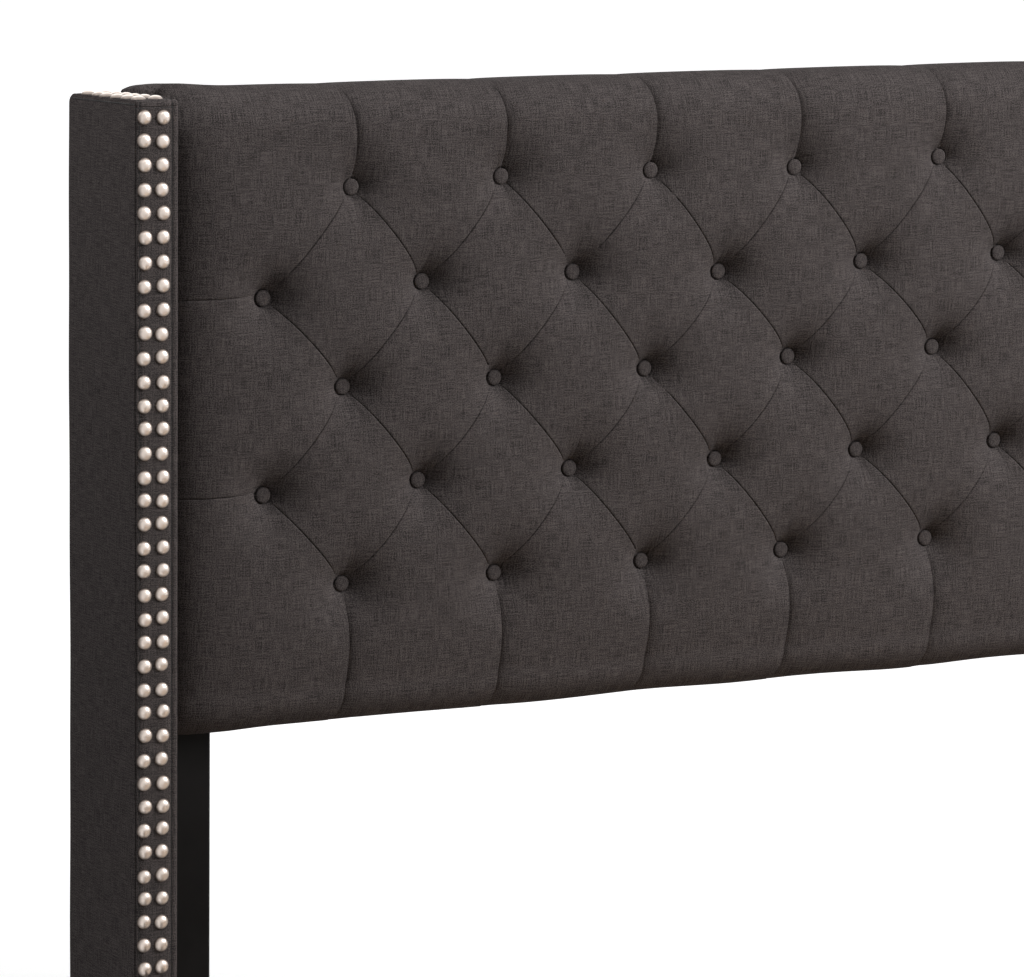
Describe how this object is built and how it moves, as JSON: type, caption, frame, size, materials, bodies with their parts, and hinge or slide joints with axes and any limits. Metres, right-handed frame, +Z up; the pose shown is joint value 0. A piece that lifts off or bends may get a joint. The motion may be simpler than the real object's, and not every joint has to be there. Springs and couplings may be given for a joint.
{
  "type": "upholstered wing bed",
  "caption": "Queen-size wing bed in charcoal linen: diamond-tufted headboard with nail-trimmed wings, padded side rails and footboard, and a slatted base.",
  "frame": {"origin": "on the floor, under the middle of the bed's outline", "axes": "+Z up, +Y from the footboard to the headboard, +X to the right seen from the foot"},
  "size_m": [1.72, 2.234, 1.3765],
  "materials": {
    "charcoal_linen": "charcoal linen weave with fine slubs",
    "dust_cloth": "black non-woven dust cloth",
    "webbing": "black woven webbing",
    "black_wood": "black painted wood, satin",
    "pine": "planed pine",
    "plywood": "birch plywood",
    "pewter": "pewter plated domed nail heads",
    "black_steel": "black powder coat",
    "zinc_steel": "zinc plated",
    "black_plastic": "moulded black plastic"
  },
  "bodies": {
    "bed_frame": {"beam_saddles": "black_steel", "bolt_nuts": "zinc_steel", "bolt_washers": "zinc_steel", "centre_beam": "pine", "centre_leg_studs": "zinc_steel", "centre_legs": "black_wood", "crossbar_dowels": "pine", "floor_glides": "black_plastic", "foot_bolts": "zinc_steel", "foot_legs": "black_wood", "foot_rail_brackets": "black_steel", "footboard_cover": "charcoal_linen", "footboard_panel": "plywood", "footboard_rails": "pine", "footboard_stiles": "pine", "head_bolts": "zinc_steel", "head_crossbar": "black_wood", "head_rail_brackets": "black_steel", "headboard_bottom_rail": "pine", "headboard_dust_cloth": "dust_cloth", "headboard_mid_stiles": "pine", "headboard_panel": "plywood", "headboard_top_rail": "pine", "left_headboard_leg": "black_wood", "left_ledger": "pine", "left_rail_core": "pine", "left_rail_cover": "charcoal_linen", "left_wing_core": "pine", "left_wing_cover": "charcoal_linen", "left_wing_nails": "pewter", "leveller_inserts": "zinc_steel", "rail_bracket_screws": "zinc_steel", "right_headboard_leg": "black_wood", "right_ledger": "pine", "right_rail_core": "pine", "right_rail_cover": "charcoal_linen", "right_wing_core": "pine", "right_wing_cover": "charcoal_linen", "right_wing_nails": "pewter", "slat_webbing": "webbing", "slats": "pine", "tuft_buttons": "charcoal_linen", "tufted_pad": "charcoal_linen", "wing_bracket_screws": "zinc_steel", "wing_brackets": "black_steel"},
    "leveller_1": {"leveller_1": "zinc_steel"},
    "leveller_2": {"leveller_2": "zinc_steel"},
    "leveller_3": {"leveller_3": "zinc_steel"}
  },
  "joints": [
    {"name": "leveller_1_travel", "type": "slide", "parent": "bed_frame", "child": "leveller_1", "axis": [0, 0, -1], "range_m": [0, 0.02]},
    {"name": "leveller_2_travel", "type": "slide", "parent": "bed_frame", "child": "leveller_2", "axis": [0, 0, -1], "range_m": [0, 0.02]},
    {"name": "leveller_3_travel", "type": "slide", "parent": "bed_frame", "child": "leveller_3", "axis": [0, 0, -1], "range_m": [0, 0.02]}
  ]
}
